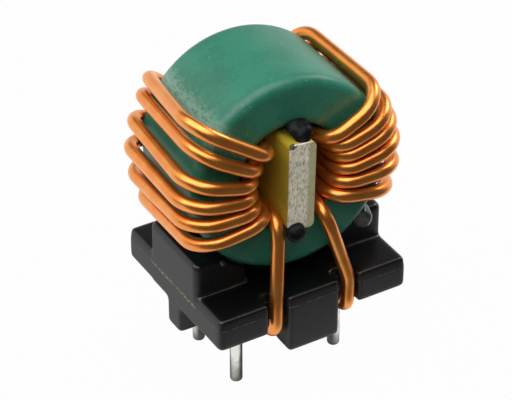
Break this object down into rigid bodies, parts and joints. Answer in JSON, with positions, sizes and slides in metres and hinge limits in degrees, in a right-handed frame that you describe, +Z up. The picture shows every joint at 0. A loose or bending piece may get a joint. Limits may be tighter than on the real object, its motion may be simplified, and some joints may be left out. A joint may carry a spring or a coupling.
{
  "type": "common mode choke",
  "caption": "Through-hole common mode choke: copper windings on a coated ferrite ring that stands upright in a black moulded carrier with board pins.",
  "frame": {"origin": "middle of the four pins, on the surface of the circuit board that the carrier stands on", "axes": "+Z up from the board, +X from the left winding to the right winding, the front faces -Y"},
  "size_m": [0.0236, 0.0185, 0.0321],
  "materials": {
    "carrier_plastic": "matt moulded, with a fine grain",
    "ferrite": "matt, sintered",
    "green_epoxy": "semi-gloss powder coat",
    "laminate": "sawn glass-fibre laminate",
    "enamelled_copper": "clear enamel over drawn copper",
    "tinned_pin": "bright tin plate",
    "solder": "bright, wetted",
    "black_glue": "glossy, set in a drop",
    "clear_glue": "cloudy, set in a drop"
  },
  "bodies": {
    "root": {"carrier": "carrier_plastic", "ferrite_ring": "ferrite", "epoxy_coating": "green_epoxy", "separator": "laminate", "winding_left": "enamelled_copper", "winding_right": "enamelled_copper", "pin_front_left": "tinned_pin", "solder_front_left": "solder", "cradle_glue_left_front": "clear_glue", "pin_front_right": "tinned_pin", "solder_front_right": "solder", "cradle_glue_right_front": "clear_glue", "separator_glue_top_front": "black_glue", "separator_glue_bottom_front": "black_glue", "pin_rear_left": "tinned_pin", "solder_rear_left": "solder", "cradle_glue_left_rear": "clear_glue", "pin_rear_right": "tinned_pin", "solder_rear_right": "solder", "cradle_glue_right_rear": "clear_glue", "separator_glue_top_rear": "black_glue", "separator_glue_bottom_rear": "black_glue"}
  },
  "joints": []
}
